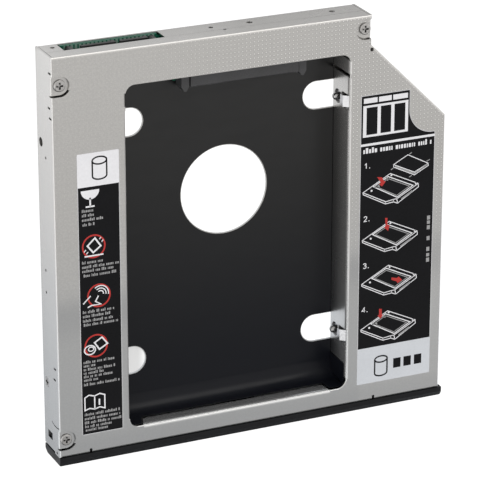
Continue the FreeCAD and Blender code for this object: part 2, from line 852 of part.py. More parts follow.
def pan_head_screw(centre, seat_z, length):
    """Low cross-head screw, its head seated at seat_z and its shank pointing down."""
    x, y = centre
    head = rod_z(screw_head_r, x, y, seat_z, seat_z + screw_head_t)
    top = seat_z + screw_head_t
    head = head.makeFillet(screw_edge, edges_at(head, top))
    shank = rod_z(screw_r, x, y, seat_z - length, seat_z)
    shank = shank.makeChamfer(screw_tip, edges_at(shank, seat_z - length))
    bar = (screw_slot_len / 2, screw_slot_w / 2)
    cross = []
    for a, b in (bar, bar[::-1]):
        cross.append(box(x - a, x + a, y - b, y + b, top - screw_slot_depth, top + past))
    return fused([head, shank]).cut(cross[0].fuse(cross[1])).removeSplitter()


def make_cover_screws():
    screws = [pan_head_screw(centre, recess_z, screw_len) for centre, way in screw_spots()]
    return Part.makeCompound(screws)


def make_board_screws():
    length = board_top - board_screw_short
    screws = [pan_head_screw(spot, board_top, length) for spot in board_screws]
    return Part.makeCompound(screws)


def make_side_screw():
    """Flat-head screw through the cover wall into the tray wall."""
    end_x = tray_in + collar_len + side_screw_tail
    shank = rod_x(screw_r, side_screw_y, side_hole_z, sheet, end_x)
    screw = countersink(0).fuse(shank).removeSplitter()
    a, b = screw_slot_len / 2, screw_slot_w / 2
    for half_y, half_z in ((a, b), (b, a)):
        y, z = side_screw_y, side_hole_z
        screw = screw.cut(
            box(-past, screw_slot_depth, y - half_y, y + half_y, z - half_z, z + half_z)
        )
    return screw.removeSplitter()


def socket_rows():
    """X range and number of contacts of the drive socket's signal row and power row."""
    start, end = socket_x0 + socket_end_w, socket_x1 - socket_end_w
    signal = (start, start + signal_row_w, signal_ways)
    power = (end - power_row_w, end, power_ways)
    return signal, power


def row_places(x0, x1, ways, pitch):
    middle = (x0 + x1) / 2
    return [middle + (n - (ways - 1) / 2) * pitch for n in range(ways)]


def make_drive_socket():
    z0, z1 = board_top, socket_top_z
    back_y = socket_face_y + socket_deep
    x0, x1 = socket_x0, socket_x1
    lug = socket_lug_w
    bar_in = lug + socket_lug_gap
    bar = box(x0 + bar_in, x1 - bar_in, socket_face_y, back_y, z0, z1)
    brink = [e for e in edges_at(bar, z1) if abs(e.CenterOfMass.y - socket_face_y) < 1e-6]
    bar = bar.makeChamfer(socket_bevel, brink)
    back = box(x0, x1, back_y - socket_back_t, back_y, z0, z1)
    pieces = [bar, back]
    tip_y = socket_face_y - socket_lug_ahead
    shoulder = tip_y + socket_lug_lead_y
    lead = socket_lug_lead_x
    for side_x in (x0, x1 - lug):
        corners = [
            (side_x, back_y - socket_back_t / 2),
            (side_x, shoulder),
            (side_x + lead, tip_y),
            (side_x + lug - lead, tip_y),
            (side_x + lug, shoulder),
            (side_x + lug, back_y - socket_back_t / 2),
        ]
        pieces.append(prism(corners, z0, z1 - socket_lug_drop))
    housing = fused(pieces)

    mouth_z = drive_floor_z + socket_plug_z
    mouth_low, mouth_high = mouth_z - socket_mouth_h / 2, mouth_z + socket_mouth_h / 2
    outer_y, inner_y = socket_face_y - past, socket_face_y + socket_mouth_deep
    half = contact_w / 2 + contact_gap
    top = mouth_high + contact_gap
    low = mouth_high - contact_t - contact_gap
    cuts = []
    for row_x0, row_x1, ways in socket_rows():
        cuts.append(box(row_x0, row_x1, outer_y, inner_y, mouth_low, mouth_high))
        key_x, key_z = row_x1 - socket_key_w, mouth_high + socket_key_h
        cuts.append(box(key_x, row_x1, outer_y, inner_y, mouth_low, key_z))
        for x in row_places(row_x0, row_x1, ways, socket_pitch):
            cuts.append(box(x - half, x + half, inner_y - past, back_y + past, low, top))
    return housing.cut(cuts).removeSplitter()


def bent_contact(x, tip_y, wall_y, tail_way, finger_top):
    """Flat finger that runs through the housing, drops behind it and ends in a foot on the board."""
    t = contact_t
    drop = wall_y + tail_way * (contact_gap + t)
    foot = drop + tail_way * tail_len
    section = [
        (tip_y, finger_top - t),
        (tip_y, finger_top),
        (drop, finger_top),
        (drop, board_top + t),
        (foot, board_top + t),
        (foot, board_top),
        (drop - tail_way * t, board_top),
        (drop - tail_way * t, finger_top - t),
    ]
    return section_x(section, x - contact_w / 2, x + contact_w / 2)


def make_drive_socket_contacts():
    mouth_high = drive_floor_z + socket_plug_z + socket_mouth_h / 2
    back_y = socket_face_y + socket_deep
    contacts = []
    for row_x0, row_x1, ways in socket_rows():
        for x in row_places(row_x0, row_x1, ways, socket_pitch):
            contacts.append(bent_contact(x, socket_face_y + contact_inset, back_y, 1, mouth_high))
    return Part.makeCompound(contacts)


def plug_rows():
    """X range and number of contacts of each tongue of the laptop side plug."""
    signal_x0, power_x0 = plug_base_x0 + plug_signal_in, plug_base_x0 + plug_power_in
    return (
        (signal_x0, signal_x0 + plug_signal_w, signal_ways),
        (power_x0, power_x0 + plug_power_w, plug_power_ways),
    )


def make_host_plug():
    base = box(plug_base_x0, plug_base_x1, plug_base_y0, plug_base_y1, board_top, plug_base_top_z)
    base = base.makeChamfer(plug_bevel, edges_at(base, plug_base_top_z))
    pieces = [base]
    root_y = plug_base_y1 - plug_base_t / 2
    post_y, post_z = plug_tongue_y - plug_post_short, plug_base_top_z - plug_post_drop
    for x in (plug_base_x0, plug_base_x1 - plug_post_w):
        post = box(x, x + plug_post_w, root_y, post_y, board_top, post_z)
        tips = [e for e in upright_edges(post) if abs(e.CenterOfMass.y - post_y) < 1e-6]
        pieces.append(post.makeChamfer(plug_post_lead, tips))
    tongue_top = plug_tongue_z + plug_tongue_t
    key_z = plug_tongue_z - plug_key_h
    for x0, x1, ways in plug_rows():
        pieces.append(box(x0, x1, root_y, plug_tongue_y, plug_tongue_z, tongue_top))
        pieces.append(box(x1 - plug_key_w, x1, root_y, plug_tongue_y, key_z, tongue_top))
    housing = fused(pieces)
    cuts = []
    half = contact_w / 2 + contact_gap
    low = plug_tongue_z - contact_t - contact_gap
    for x0, x1, ways in plug_rows():
        for x in row_places(x0, x1 - plug_key_w, ways, plug_pitch):
            y0 = plug_base_y0 - past
            cuts.append(box(x - half, x + half, y0, plug_base_y1, low, plug_tongue_z))
    return housing.cut(cuts).removeSplitter()


def make_host_plug_contacts():
    contacts = []
    for x0, x1, ways in plug_rows():
        for x in row_places(x0, x1 - plug_key_w, ways, plug_pitch):
            tip_y = plug_tongue_y - plug_contact_inset
            contacts.append(bent_contact(x, tip_y, plug_base_y0, -1, plug_tongue_z))
    return Part.makeCompound(contacts)


def chips(spots, size):
    length, width, height = size
    a, b = length / 2, width / 2
    made = []
    for x, y in spots:
        chip = box(x - a, x + a, y - b, y + b, board_top, board_top + height)
        made.append(chip.makeFillet(chip_corner_r, upright_edges(chip)))
    return Part.makeCompound(made)


def make_chip_capacitors():
    y = case_d - chip_row_back
    start = socket_x0 + chip_row_in
    return chips([(start + chip_pitch * n, y) for n in range(chip_row_n)], capacitor)


def make_chip_resistors():
    """One between each two capacitors, and a lone one beside the drive socket."""
    y = case_d - chip_row_back
    start = socket_x0 + chip_row_in + chip_pitch / 2
    spots = [(start + chip_pitch * n, y) for n in range(chip_row_n - 1)]
    spots.append((socket_x0 - lone_chip_off, case_d - lone_chip_back))
    return chips(spots, resistor)


def bezel_arm():
    """Clip arm at the left end, with a barb that catches in the hole of the side wall."""
    x0 = tray_in + arm_slack
    x1 = x0 + arm_t
    arm = box(x0, x1, -bezel_skin, arm_len, arm_z0, arm_z1)
    y0 = clip_hole_y - clip_hole_w / 2 + barb_gap
    y1 = clip_hole_y + clip_hole_w / 2 - barb_gap
    root_x, tip_x = x0 + arm_t / 2, x0 - barb
    nose = [(root_x, y0), (tip_x, y0), (tip_x, y0 + barb_flat), (x0, y1), (root_x, y1)]
    return fused([arm, prism(nose, clip_hole_z0 + barb_gap, clip_hole_z1 - barb_gap)])


def right_arm():
    """The same arm at the right end of the case."""
    return bezel_arm().mirror(Vector(case_w / 2, 0, 0), Vector(1, 0, 0))


def bezel_ports():
    """Openings in the tray's front wall for the arms and the middle hook of the bezel."""
    z0, z1 = arm_z0 - arm_slack, arm_z1 + arm_slack
    reach = tray_in + 2 * arm_slack + arm_t
    ports = [
        box(tray_in, reach, -past, sheet + past, z0, z1),
        box(case_w - reach, case_w - tray_in, -past, sheet + past, z0, z1),
    ]
    half = hook_w / 2 + arm_slack
    ports.append(box(hook_x - half, hook_x + half, -past, sheet + past, z0, z1))
    return ports


def make_front_bezel():
    section = [
        (0, bezel_foot_z),
        (-bezel_foot_t, bezel_foot_z),
        (-bezel_t, bezel_belly_z),
        (-bezel_t, face_z - bezel_bevel_drop),
        (-bezel_t + bezel_bevel, face_z),
        (0, face_z),
    ]
    bar = section_x(section, 0, bezel_w)
    front_edges = [e for e in bar.Edges if abs(e.CenterOfMass.y + bezel_t) < 1e-6]
    ends = [e for e in front_edges if e.Length < face_z]
    bar = bar.makeFillet(bezel_end_r, ends)

    # The back is hollowed between ribs
    pockets = []
    inner_w = (bezel_w - 2 * bezel_rim - (bezel_ribs - 1) * bezel_rib_t) / bezel_ribs
    for n in range(bezel_ribs):
        x0 = bezel_rim + n * (inner_w + bezel_rib_t)
        y0 = bezel_front_skin - bezel_foot_t
        z0, z1 = bezel_foot_z + bezel_rim, face_z - bezel_rim
        pockets.append(box(x0, x0 + inner_w, y0, past, z0, z1))
    bar = bar.cut(pockets)

    x0, x1 = hook_x - hook_w / 2, hook_x + hook_w / 2
    low = arm_z0 + hook_lift
    top = low + arm_t
    hook = box(x0, x1, -bezel_skin, hook_len, low, top)
    catch_y = sheet + arm_slack
    catch = [
        (catch_y, low),
        (catch_y, top + hook_catch_h),
        (catch_y + hook_catch_flat, top + hook_catch_h),
        (hook_len, top),
        (hook_len, low),
    ]
    return fused([bar, bezel_arm(), right_arm(), hook, section_x(catch, x0, x1)])


def make_label_left():
    x1, y1 = left_label_in + left_label_w, case_d - left_label_back
    top = face_z + label_t
    return rounded_plate(left_label_in, x1, left_label_y, y1, face_z, top, label_corner_r)


def make_label_right():
    """Label with a stepped top: a narrow head, a hollow curve and the full width below it."""
    x1 = case_w - right_label_in
    x0 = x1 - right_label_w
    neck_x = x0 + right_label_neck_w
    y0, y1 = right_label_y, case_d - right_label_back
    step_y = case_d - right_label_step_back
    z0, z1 = face_z, face_z + label_t
    wide = rounded_plate(x0, x1, y0, step_y, z0, z1, label_corner_r)
    head = rounded_plate(x0, neck_x, (y0 + step_y) / 2, y1, z0, z1, label_corner_r)
    r = right_label_cove_r
    web = box(neck_x - past, neck_x + r, step_y - past, step_y + r, z0, z1)
    web = web.cut(rod_z(r, neck_x + r, step_y + r, z0 - past, z1 + past))
    return fused([wide, head, web])


def save(name, shape):
    placed = shape.copy()
    placed.translate(origin * -1)
    placed.exportStep(os.path.join("parts", name + ".step"))


def main():
    os.makedirs("parts", exist_ok=True)
    save("top_cover", make_top_cover())
    save("bottom_tray", make_bottom_tray())
    save("bay_film", make_bay_film())
    save("adapter_board", make_adapter_board())
    save("board_screws", make_board_screws())
    save("chip_capacitors", make_chip_capacitors())
    save("chip_resistors", make_chip_resistors())
    save("drive_socket", make_drive_socket())
    save("drive_socket_contacts", make_drive_socket_contacts())
    save("host_plug", make_host_plug())
    save("host_plug_contacts", make_host_plug_contacts())
    save("front_bezel", make_front_bezel())
    save("cover_screws", make_cover_screws())
    save("side_screw", make_side_screw())
    save("label_left", make_label_left())
    save("label_right", make_label_right())
    for place, row_y in zip(("rear", "front"), pin_rows):
        spring, pin = make_latch_spring(row_y), make_latch_pin(row_y)
        save("latch_spring_right_" + place, spring)
        save("latch_pin_right_" + place, pin)
        save("latch_spring_left_" + place, mirrored(spring))
        save("latch_pin_left_" + place, mirrored(pin))


main()
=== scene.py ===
import json
import math
import random

import bpy
import bmesh
from mathutils import Matrix, Vector


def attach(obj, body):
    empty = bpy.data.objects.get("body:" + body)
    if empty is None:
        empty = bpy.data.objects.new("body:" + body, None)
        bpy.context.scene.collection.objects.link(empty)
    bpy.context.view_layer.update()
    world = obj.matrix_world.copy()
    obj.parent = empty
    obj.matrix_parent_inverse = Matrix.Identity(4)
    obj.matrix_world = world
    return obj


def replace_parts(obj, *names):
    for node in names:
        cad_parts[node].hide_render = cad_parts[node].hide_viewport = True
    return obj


# Looks of the laptop drive caddy. The labels' print is placed as in the drawing, in millimetres
# from the case's front left lower corner, and put into the frame by at(). Finishes, floor and
# lights are placed in the frame's own metres.
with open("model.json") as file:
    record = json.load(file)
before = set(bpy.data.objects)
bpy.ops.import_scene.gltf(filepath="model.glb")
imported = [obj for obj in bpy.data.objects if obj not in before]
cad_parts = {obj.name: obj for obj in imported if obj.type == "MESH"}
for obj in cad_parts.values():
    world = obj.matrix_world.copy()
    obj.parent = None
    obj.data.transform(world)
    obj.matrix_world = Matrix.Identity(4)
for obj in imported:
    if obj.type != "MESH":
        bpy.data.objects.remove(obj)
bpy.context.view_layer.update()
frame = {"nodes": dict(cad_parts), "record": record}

# Where the frame's origin lies in the drawing
ORIGIN = Vector((64.5, 61.55, 0.0))

# Case sheet, in metres: pitch of its dots, extent of the window, and where the window's walls
# begin to round towards the bend at their top, and how tightly
DOT_PITCH = 0.001262
WINDOW_X = (-0.044, 0.0345)
WINDOW_Y = (-0.0585, 0.0545)
WALL_ROUND_Z = 0.0102
WALL_ROUND_R = 0.0030

# Pale pads at the board's rear edge, which also stand for painted glints, in metres: pitch and
# extent of the row
PAD_PITCH = 0.00127
PAD_ROW_X = (-0.0560, -0.0285)
PAD_ROW_Y = (0.0630, 0.0642)

# Labels, in millimetres: level of the case's face and of the paper, depth of the print, corners,
# edge left bare round the dark field, gap between the blocks of a row in heights of the row, and
# the outlines as left, right, front and rear
CASE_FACE_Z = 12.6
LABEL_SHEET = 12.676
PRINT_T = 0.008
LABEL_CORNER = 0.3
FIELD_MARGIN = 0.18
LETTER_GAP = 0.17
LEFT_LABEL = (7.3, 20.5, 6.3, 95.8)
LEFT_WHITE_Y = 85.4
RIGHT_LABEL = (99.1, 124.5, 5.9, 101.0)
RIGHT_NECK_X = 115.7
RIGHT_STEP_Y = 86.5
RIGHT_COVE_R = 8.0
RING_R = 3.5

# Camera, fitted to the photograph: turns in degrees, offset in millimetres, focal length in pixels
CAMERA_TILT = 21.403
CAMERA_ROLL = 24.187
CAMERA_OFFSET = (-59.154, -61.487, -905.467)
FOCAL_PIXELS = 2980.8
FRAME_PIXELS = 480.0
SENSOR = 36.0


def at(x, y, z=0.0):
    """The frame's place, in metres, for a place in the drawing."""
    return (Vector((x, y, z)) - ORIGIN) / 1000


class Nodes:
    """Short ways to add and join the nodes of one material or of the world."""

    def __init__(self, tree):
        self.tree = tree
        tree.nodes.clear()

    def add(self, kind, **values):
        node = self.tree.nodes.new(kind)
        for key, value in values.items():
            setattr(node, key, value)
        return node

    def join(self, source, target):
        self.tree.links.new(source, target)

    def put(self, socket, value):
        if hasattr(value, "links"):
            self.join(value, socket)
        else:
            socket.default_value = value

    def math(self, operation, a, b=None):
        node = self.add("ShaderNodeMath", operation=operation)
        self.put(node.inputs[0], a)
        if b is not None:
            self.put(node.inputs[1], b)
        return node.outputs[0]

    def times(self, first, *others):
        for other in others:
            first = self.math("MULTIPLY", first, other)
        return first

    def vector(self, operation, a, b):
        node = self.add("ShaderNodeVectorMath", operation=operation)
        self.put(node.inputs[0], a)
        self.put(node.inputs[1], b)
        return node.outputs["Value" if operation == "DOT_PRODUCT" else "Vector"]

    def place(self):
        return self.add("ShaderNodeTexCoord").outputs["Object"]

    def split(self, vector):
        node = self.add("ShaderNodeSeparateXYZ")
        self.put(node.inputs[0], vector)
        return node.outputs

    def noise(self, scale, detail=2.0, rough=0.5, stretch=None):
        node = self.add("ShaderNodeTexNoise")
        node.inputs["Scale"].default_value = scale
        node.inputs["Detail"].default_value = detail
        node.inputs["Roughness"].default_value = rough
        source = self.place()
        if stretch:
            source = self.vector("MULTIPLY", source, stretch)
        self.join(source, node.inputs["Vector"])
        return node.outputs["Fac"]

    def nook(self, reach):
        """1 in the open, falling to 0 in grooves and corners narrower than the reach."""
        node = self.add("ShaderNodeAmbientOcclusion", samples=8)
        node.inputs["Distance"].default_value = reach
        return node.outputs["AO"]

    def inside(self, value, low, high, soft=0.001):
        """1 between low and high, 0 outside, with soft edges."""
        rise = self.ramp(value, low - soft, low)
        return self.times(rise, self.ramp(value, high, high + soft, 1.0, 0.0))

    def cell(self, value, pitch):
        """Where a place lies in its cell of a row with this pitch, from 0 to 1."""
        # 200 cells more keep the count above 0
        count = self.math("ADD", self.math("DIVIDE", value, pitch), 200.0)
        return self.math("FRACT", count)

    def ramp(self, value, low, high, to_low=0.0, to_high=1.0):
        node = self.add("ShaderNodeMapRange", interpolation_type="SMOOTHSTEP")
        for name, v in (("Value", value), ("From Min", low), ("From Max", high),
                        ("To Min", to_low), ("To Max", to_high)):
            self.put(node.inputs[name], v)
        return node.outputs["Result"]

    def mix(self, factor, a, b):
        node = self.add("ShaderNodeMix", data_type="RGBA")
        self.put(node.inputs["Factor"], factor)
        self.put(node.inputs["A"], a)
        self.put(node.inputs["B"], b)
        return node.outputs["Result"]

    def bump(self, height, strength, distance, normal=None):
        node = self.add("ShaderNodeBump")
        node.inputs["Strength"].default_value = strength
        node.inputs["Distance"].default_value = distance
        self.join(height, node.inputs["Height"])
        if normal is not None:
            self.join(normal, node.inputs["Normal"])
        return node.outputs["Normal"]


def rgba(r, g, b):
    return (r, g, b, 1.0)


def material(name, build):
    """A material whose nodes the given function adds, round one Principled shader."""
    mat = bpy.data.materials.new(name)
    mat.use_nodes = True
    n = Nodes(mat.node_tree)
    shader = n.add("ShaderNodeBsdfPrincipled")
    out = n.add("ShaderNodeOutputMaterial")
    n.join(shader.outputs[0], out.inputs["Surface"])
    build(n, shader.inputs)
    return mat


def build_sheet(n, s):
    """Plated steel sheet: rows of fine raised dots on the face with painted highlights and painted
    shade, smoother bent walls.
    """
    x, y, z = n.split(n.place())
    u = n.math("SUBTRACT", n.cell(x, DOT_PITCH), 0.5)
    v = n.math("SUBTRACT", n.cell(y, DOT_PITCH), 0.5)
    r2 = n.math("ADD", n.times(u, u), n.times(v, v))
    dot = n.ramp(r2, 0.008, 0.045, 1.0, 0.0)
    # The face is what points straight up near the top
    up = n.split(n.add("ShaderNodeNewGeometry").outputs["Normal"])[2]
    face = n.times(n.ramp(up, 0.97, 0.995), n.ramp(z, 0.0115, 0.0120))
    # The raised dots and their painted highlights fade towards the front and the left
    dot_strength = n.times(n.ramp(x, -0.045, 0.012, 0.16, 1.0), n.ramp(y, -0.058, 0.055, 0.06, 1.0))
    dot_strength = n.times(dot_strength, n.ramp(n.noise(30.0), 0.35, 0.65, 0.6, 1.0))
    dots_and_glints = n.times(dot, face, dot_strength)

    streak = n.noise(60.0, 3.0, 0.6, stretch=(1.0, 14.0, 1.0))
    smear = n.noise(18.0, 3.0, 0.55)
    grain = n.noise(5200.0, 1.0)
    dull, clean = rgba(0.600, 0.590, 0.575), rgba(0.635, 0.625, 0.612)
    tone = n.mix(n.ramp(smear, 0.3, 0.7), dull, clean)
    tone = n.mix(n.times(n.ramp(streak, 0.45, 0.75), 0.15), tone, rgba(0.70, 0.69, 0.67))
    speckle = n.times(n.ramp(n.noise(1500.0, 2.0, 0.6), 0.42, 0.60), n.times(face, 0.34))
    tone = n.mix(speckle, tone, rgba(0.74, 0.73, 0.71))
    # Painted shade in a ring round each dot
    dot_shade = n.times(n.ramp(r2, 0.20, 0.06), n.math("SUBTRACT", 1.0, dot), face)
    tone = n.mix(n.times(dot_shade, dot_strength, 0.32), tone, rgba(0.34, 0.34, 0.33))
    # Painted highlight: the dots are painted near white
    tone = n.mix(dots_and_glints, tone, rgba(1.0, 0.99, 0.97))
    # Painted shade, duller over the front half left of the right label and in a band behind it
    front, left = n.ramp(y, -0.0165, -0.0085, 1.0, 0.0), n.ramp(x, 0.0345, 0.0365, 1.0, 0.0)
    band = n.times(n.ramp(y, -0.0270, -0.0170), n.ramp(y, -0.0150, -0.0060, 1.0, 0.0))
    painted_dim = n.math("ADD", n.times(front, left, 0.27), n.times(band, 0.27))
    tone = n.mix(n.times(painted_dim, face), tone, rgba(0.37, 0.375, 0.385))
    # Painted shade: darker along the front edge
    tone = n.mix(n.ramp(y, -0.0590, -0.0545, 0.22, 0.0), tone, rgba(0.34, 0.34, 0.345))
    # A little cooler towards the front
    tone = n.mix(n.ramp(y, -0.050, 0.020, 0.38, 0.0), tone, rgba(0.595, 0.625, 0.655))
    # Painted shade: the colour darkens in grooves, slits and corners
    unshaded = n.ramp(n.nook(0.0009), 0.15, 0.75)
    n.put(s["Base Color"], n.mix(unshaded, rgba(0.05, 0.05, 0.05), tone))
    rough = n.ramp(smear, 0.25, 0.75, 0.34, 0.44)
    n.put(s["Roughness"], n.math("SUBTRACT", rough, n.ramp(up, 0.2, 0.9, 0.14, 0.0)))
    height = n.math("ADD", n.times(dots_and_glints, 0.6), n.times(grain, 0.12))
    fine = n.bump(height, 0.35, 0.00006)
    # Round the walls of the window a little towards the bend at their top
    bay = n.times(n.inside(x, *WINDOW_X), n.inside(y, *WINDOW_Y))
    wall = n.times(bay, n.ramp(up, 0.1, 0.5, 1.0, 0.0))
    reach = n.math("MAXIMUM", n.math("SUBTRACT", z, WALL_ROUND_Z), 0.0)
    fall = n.times(reach, reach, -0.5 / WALL_ROUND_R)
    n.put(s["Normal"], n.bump(n.times(fall, wall), 1.0, 1.0, fine))
    # Haze on these walls, thicker towards the top
    haze = n.times(wall, n.ramp(z, 0.001, 0.012, 0.0, 0.15))
    n.put(s["Metallic"], n.math("SUBTRACT", 1.0, haze))


def build_film(n, s):
    """Black film: smooth, a little wavy, with dust and light rub marks."""
    wave = n.noise(26.0, 2.0)
    dust = n.noise(1500.0, 2.0, 0.7)
    rub = n.noise(70.0, 4.0, 0.7, stretch=(1.0, 4.0, 1.0))
    y = n.split(n.place())[1]
    front, rear = rgba(0.0045, 0.0052, 0.0080), rgba(0.0045, 0.0045, 0.0048)
    ground = n.mix(n.ramp(y, -0.055, 0.03), front, rear)
    n.put(s["Base Color"], n.mix(n.ramp(dust, 0.70, 0.82), ground, rgba(0.02, 0.02, 0.02)))
    # Painted shade: reflects less, and so looks darker, towards the front
    n.put(s["Specular IOR Level"], n.ramp(y, -0.062, 0.045, 0.17, 0.50))
    n.put(s["Roughness"], n.ramp(rub, 0.35, 0.75, 0.28, 0.38))
    n.put(s["Normal"], n.bump(wave, 0.12, 0.0006))


def build_board(n, s):
    """Dark green mask over a woven board, with tracks and a row of pale pads at the rear edge that
    also stand for painted glints.
    """
    x, y = n.split(n.place())[:2]
    weave = n.noise(2400.0, 1.0)
    tracks = n.add("ShaderNodeTexBrick", offset=0.5)
    n.join(n.place(), tracks.inputs["Vector"])
    n.put(tracks.inputs["Scale"], 260.0)
    n.put(tracks.inputs["Mortar Size"], 0.06)
    tone = n.mix(tracks.outputs["Fac"], rgba(0.003, 0.075, 0.045), rgba(0.006, 0.11, 0.066))
    tone = n.mix(n.times(weave, 0.3), tone, rgba(0.002, 0.05, 0.03))
    # Pale pads, partly painted highlight for glints along the rear edge
    pads_and_glints = n.times(n.inside(n.cell(x, PAD_PITCH), 0.2, 0.75, 0.05),
                   n.inside(y, *PAD_ROW_Y, 0.0001), n.inside(x, *PAD_ROW_X))
    n.put(s["Base Color"], n.mix(n.times(pads_and_glints, 0.45), tone, rgba(0.42, 0.52, 0.47)))
    n.put(s["Roughness"], 0.32)
    n.put(s["Normal"], n.bump(weave, 0.2, 0.00003))


def build_screw(n, s):
    """Turned steel screw, with painted shade in the grooves of its drive."""
    fine = n.noise(2600.0, 3.0, 0.6)
    tone = n.mix(n.ramp(fine, 0.35, 0.65), rgba(0.44, 0.43, 0.42), rgba(0.58, 0.57, 0.56))
    # Painted shade: the colour darkens in the grooves of the drive and round the head
    unshaded = n.ramp(n.nook(0.0007), 0.35, 0.95)
    n.put(s["Base Color"], n.mix(unshaded, rgba(0.02, 0.02, 0.02), tone))
    n.put(s["Metallic"], 1.0)
    n.put(s["Roughness"], 0.30)
    n.put(s["Normal"], n.bump(fine, 0.15, 0.00004))


def plain(dark, light, rough, metallic=0.0, scale=2200.0, bump=0.15, depth=0.00004, shine=0.5):
    """A finish with fine variation in tone, roughness and surface."""
    def build(n, s):
        fine = n.noise(scale, 3.0, 0.6)
        broad = n.noise(scale / 18, 2.0)
        share = n.math("ADD", n.times(fine, 0.5), n.times(broad, 0.5))
        n.put(s["Base Color"], n.mix(n.ramp(share, 0.35, 0.65), rgba(*dark), rgba(*light)))
        n.put(s["Metallic"], metallic)
        n.put(s["Specular IOR Level"], shine)
        n.put(s["Roughness"], n.ramp(broad, 0.3, 0.7, rough * 0.85, rough * 1.15))
        n.put(s["Normal"], n.bump(fine, bump, depth))
    return build


MATERIALS = {
    "case_sheet": build_sheet,
    "black_film": build_film,
    "board_green": build_board,
    "screw_steel": build_screw,
    "chip_body": plain((0.20, 0.15, 0.10), (0.30, 0.24, 0.17), 0.5, scale=3000.0),
    "socket_plastic": plain((0.044, 0.044, 0.046), (0.062, 0.062, 0.066), 0.42),
    "plug_plastic": plain((0.012, 0.012, 0.012), (0.022, 0.022, 0.022), 0.42),
    "contact_gold": plain((0.62, 0.44, 0.16), (0.75, 0.56, 0.24), 0.25, 1.0, 3200.0),
    "bezel_plastic": plain((0.005, 0.005, 0.006), (0.009, 0.010, 0.012), 0.42,
                           scale=3000.0, bump=0.3, depth=0.00003, shine=0.25),
    "spring_steel": plain((0.46, 0.46, 0.47), (0.62, 0.62, 0.63), 0.26, 1.0, 1800.0),
    "pin_steel": plain((0.34, 0.34, 0.34), (0.46, 0.46, 0.46), 0.20, 1.0, 2600.0),
    "label_film": plain((0.0034, 0.0035, 0.0044), (0.0054, 0.0055, 0.0068), 0.40,
                        scale=1400.0, bump=0.08, shine=0.16),
}
made = {name: material(name, build) for name, build in MATERIALS.items()}
# Each node gets the finish of its material slot
SLOTS = {row["node"]: row["material_slot"] for row in frame["record"]["subparts"]}
for node, obj in frame["nodes"].items():
    obj.data.materials.clear()
    obj.data.materials.append(made[SLOTS[node]])


def flat_material(name, colour):
    """Paper or print of one matt colour."""
    shade = tuple(0.94 * c for c in colour)
    return material(name, plain(shade, colour, 0.42, scale=1400.0, bump=0.06))


INK = {
    "paper": flat_material("ink_paper", (0.62, 0.62, 0.64)),
    "black": made["label_film"],
    "white": flat_material("ink_white", (0.80, 0.80, 0.83)),
    "pale": flat_material("ink_pale", (0.61, 0.635, 0.675)),
    "faint": flat_material("ink_faint", (0.33, 0.33, 0.335)),
    "red": flat_material("ink_red", (0.46, 0.024, 0.020)),
}


class Ink:
    """Flat printed shapes of one colour in one layer, gathered into one thin piece."""

    def __init__(self, name, colour, layer):
        self.name = name
        self.colour = colour
        self.top = LABEL_SHEET + PRINT_T / 2 * layer
        self.mesh = bmesh.new()

    def area(self, points, depth=PRINT_T / 2):
        upper = [self.mesh.verts.new(at(x, y, self.top)) for x, y in points]
        lower = [self.mesh.verts.new(at(x, y, self.top - depth)) for x, y in points]
        self.mesh.faces.new(upper)
        self.mesh.faces.new(lower[::-1])
        for n in range(len(points)):
            m = (n + 1) % len(points)
            self.mesh.faces.new((upper[m], upper[n], lower[n], lower[m]))

    def line(self, points, width, closed=False):
        """A line of even width with mitred corners."""
        spots = [Vector(p) for p in points]
        count = len(spots)
        sides = []
        for n, spot in enumerate(spots):
            before = spots[n - 1] if n or closed else None
            after = spots[(n + 1) % count] if n < count - 1 or closed else None
            ways = []
            if before is not None:
                ways.append((spot - before).normalized())
            if after is not None:
                ways.append((after - spot).normalized())
            normals = [Vector((-way.y, way.x)) for way in ways]
            middle = sum(normals, Vector((0, 0))).normalized()
            reach = width / 2 / max(0.45, middle.dot(normals[0]))
            sides.append((spot + middle * reach, spot - middle * reach))
        for n in range(count if closed else count - 1):
            (a, b), (c, d) = sides[n], sides[(n + 1) % count]
            self.area([a, b, d, c])

    def ring(self, x, y, rx, ry, width, start=0, end=360, steps=48):
        whole = end - start >= 360
        count = steps if whole else steps + 1
        turns = [math.radians(start + (end - start) * n / steps) for n in range(count)]
        self.line([(x + rx * math.cos(t), y + ry * math.sin(t)) for t in turns], width, whole)

    def disc(self, x, y, radius, steps=20):
        turns = [math.tau * n / steps for n in range(steps)]
        self.area([(x + radius * math.cos(t), y + radius * math.sin(t)) for t in turns])

    def block(self, x0, x1, y0, y1):
        self.area([(x0, y0), (x1, y0), (x1, y1), (x0, y1)])

    def marks(self, x0, x1, y, height, seed):
        """A row of small upright blocks in groups, which stands where a line of print was."""
        pick = random.Random(seed)
        x = x0
        left = pick.randint(2, 8)
        while x < x1 - 0.3 * height:
            wide = height * pick.uniform(0.20, 0.50)
            tall = height * pick.choice((0.72, 0.72, 0.72, 1.0))
            self.block(x, min(x + wide, x1), y - height / 2, y - height / 2 + tall)
            x += wide + height * LETTER_GAP
            left -= 1
            if left == 0:
                x += height * 0.45
                left = pick.randint(2, 9)

    def done(self):
        data = bpy.data.meshes.new(self.name)
        bmesh.ops.recalc_face_normals(self.mesh, faces=self.mesh.faces)
        self.mesh.to_mesh(data)
        self.mesh.free()
        data.materials.append(INK[self.colour])
        piece = bpy.data.objects.new(self.name, data)
        bpy.context.scene.collection.objects.link(piece)
        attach(piece, "root")
        return piece


def arc(x, y, radius, start, end, steps=8):
    turns = [math.radians(start + (end - start) * n / steps) for n in range(steps + 1)]
    return [(x + radius * math.cos(t), y + radius * math.sin(t)) for t in turns]


def rounded(x0, x1, y0, y1, radius):
    points = []
    for x, y, start in ((x1 - radius, y1 - radius, 0), (x0 + radius, y1 - radius, 90),
                        (x0 + radius, y0 + radius, 180), (x1 - radius, y0 + radius, 270)):
        points += arc(x, y, radius, start, start + 90)
    return points


